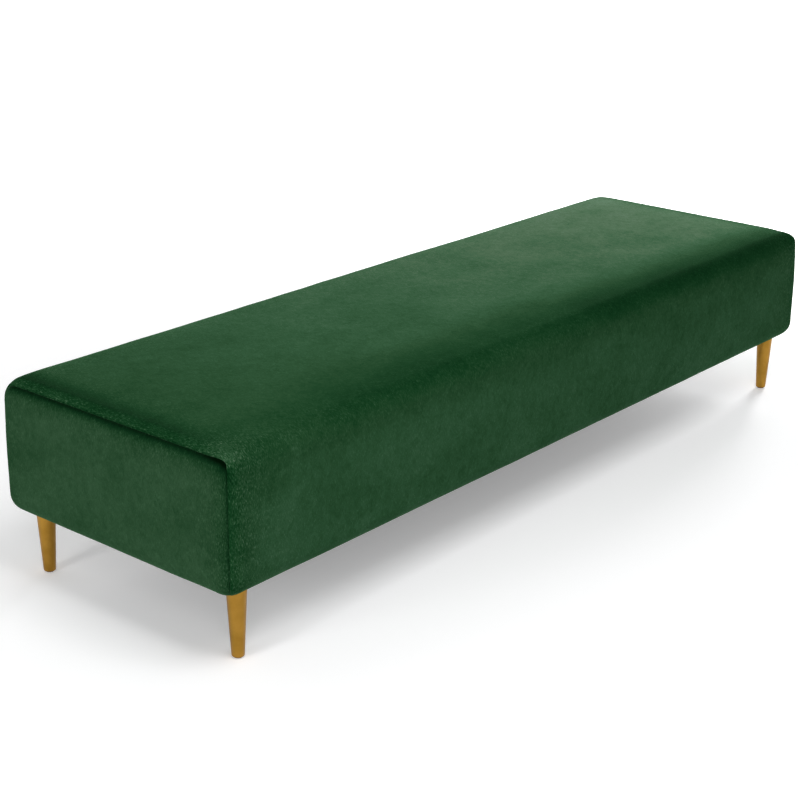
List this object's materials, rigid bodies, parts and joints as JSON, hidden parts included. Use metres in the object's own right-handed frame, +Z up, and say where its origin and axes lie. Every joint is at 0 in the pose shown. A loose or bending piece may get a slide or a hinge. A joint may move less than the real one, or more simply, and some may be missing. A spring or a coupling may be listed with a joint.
{
  "type": "pouf",
  "caption": "Long low rectangular pouf bench, fully upholstered in green velvet with sewn-in end panels, on short tapered gold legs.",
  "frame": {"origin": "on the floor, below the middle of the bench", "axes": "+Z up; +X along the bench, so that the end nearest the camera in the picture is at -X; the long side that the picture shows faces -Y"},
  "size_m": [2, 0.6196, 0.41],
  "materials": {
    "velvet": "bottle-green short-pile velvet",
    "wadding": "white polyester wadding",
    "foam": null,
    "plywood": "birch plywood, sawn edges",
    "pine": "planed pine",
    "beech": "planed beech",
    "gold_leg": "turned aluminium, satin gold anodised",
    "zinc_steel": "zinc-plated steel",
    "nylon": "black nylon",
    "dust_cloth": "black spun-bonded cloth"
  },
  "bodies": {
    "root": {"back_board": "plywood", "back_rail": "pine", "back_side_pad": "foam", "corner_block_back_left": "beech", "corner_block_back_right": "beech", "corner_block_front_left": "beech", "corner_block_front_right": "beech", "cover_end_left": "velvet", "cover_end_right": "velvet", "cover_wrap": "velvet", "cross_rail_1": "pine", "cross_rail_2": "pine", "cross_rail_3": "pine", "deck_board": "plywood", "dust_cover": "dust_cloth", "front_board": "plywood", "front_rail": "pine", "front_side_pad": "foam", "glide_back_left": "nylon", "glide_back_right": "nylon", "glide_front_left": "nylon", "glide_front_right": "nylon", "left_end_board": "plywood", "left_end_pad": "foam", "left_rail": "pine", "leg_back_left": "gold_leg", "leg_back_right": "gold_leg", "leg_front_left": "gold_leg", "leg_front_right": "gold_leg", "leg_studs": "zinc_steel", "rail_inserts": "zinc_steel", "rib_1": "plywood", "rib_2": "plywood", "rib_3": "plywood", "right_end_board": "plywood", "right_end_pad": "foam", "right_rail": "pine", "seat_foam": "foam", "wadding": "wadding"}
  },
  "joints": []
}
